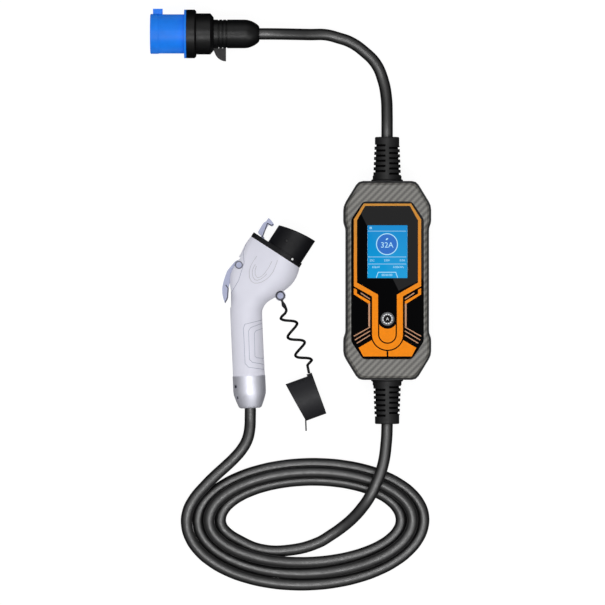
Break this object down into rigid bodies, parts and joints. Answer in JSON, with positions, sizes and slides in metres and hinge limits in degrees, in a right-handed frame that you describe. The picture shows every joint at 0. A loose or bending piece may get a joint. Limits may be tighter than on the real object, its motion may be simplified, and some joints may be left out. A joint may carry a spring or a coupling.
{
  "type": "portable ev charger",
  "caption": "Control box with a colour display and a button, a mains plug on a short cord, and a coiled output cord that ends in a latched vehicle connector with a tethered dust cap.",
  "frame": {"origin": "centre of the control box's flat back face", "axes": "+Z out of the display, +Y along the box towards the mains plug's end, +X to the display's right"},
  "size_m": [0.3109, 0.6461, 0.055],
  "materials": {
    "shell_plastic": "fine texture",
    "frame_plastic": "woven carbon print",
    "panel_gloss": "polished",
    "trim_orange": "printed",
    "trim_tan": "printed",
    "screen": "lit display",
    "display_metal": "plain",
    "board": "plain",
    "dark_plastic": "satin",
    "light_plastic": "lit",
    "pale_plastic": "plain",
    "screw_steel": "plain",
    "copper_winding": "wound",
    "rubber_black": "satin",
    "plug_blue": "satin",
    "tongue_grey": "satin",
    "contact_metal": "plated",
    "connector_white": "satin",
    "latch_grey": "satin",
    "tail_chrome": "polished",
    "cord_jacket": "satin"
  },
  "bodies": {
    "charger": {"back_shell": "shell_plastic", "front_frame": "frame_plastic", "gasket": "rubber_black", "face_panel": "panel_gloss", "face_trim": "trim_orange", "face_lines": "trim_tan", "lcd_window": "screen", "lcd_module": "display_metal", "display_board": "board", "board_screws": "screw_steel", "button_bezel": "dark_plastic", "button_light_ring": "light_plastic", "tact_switch": "dark_plastic", "main_board": "board", "power_relays": "dark_plastic", "current_sensor": "copper_winding", "supply_module": "pale_plastic", "terminal_blocks": "pale_plastic", "back_screws": "screw_steel", "input_relief": "rubber_black", "output_relief": "rubber_black", "plug_shroud": "plug_blue", "plug_pin_carrier": "plug_blue", "plug_line_pin": "contact_metal", "plug_neutral_pin": "contact_metal", "plug_earth_pin": "contact_metal", "plug_collar": "dark_plastic", "plug_rear_shell": "dark_plastic", "plug_gland_nut": "dark_plastic", "plug_gland_seal": "rubber_black", "plug_lock_tongue": "tongue_grey", "input_cord": "cord_jacket", "output_lead_in": "cord_jacket", "output_coil": "cord_jacket", "output_lead_out": "cord_jacket", "connector_top_shell": "connector_white", "connector_bottom_shell": "connector_white", "connector_flange": "dark_plastic", "connector_nozzle": "dark_plastic", "contact_carrier": "dark_plastic", "line_contact": "contact_metal", "neutral_contact": "contact_metal", "earth_contact": "contact_metal", "pilot_contact": "contact_metal", "sense_contact": "contact_metal", "latch_pin": "screw_steel", "latch_switch": "dark_plastic", "tail_cap": "tail_chrome", "tail_cap_screws": "screw_steel", "tail_seal": "rubber_black", "connector_screws": "screw_steel", "tether_screw": "screw_steel", "tether_eye": "rubber_black", "tether_cord": "cord_jacket", "dust_cap": "rubber_black"},
    "button": {"mode_button": "dark_plastic"},
    "latch": {"latch_lever": "latch_grey", "latch_spring": "screw_steel"}
  },
  "joints": [
    {"name": "button_press", "type": "slide", "parent": "charger", "child": "button", "axis": [0, 0, -1], "range_m": [0, 0.001], "stiffness_N_per_m": 500},
    {"name": "latch_pivot", "type": "hinge", "parent": "charger", "child": "latch", "pos_m": [-0.1642, 0.0172, 0.023], "axis": [0, 0, 1], "range_deg": [0, 5], "stiffness_Nm_per_rad": 3}
  ]
}
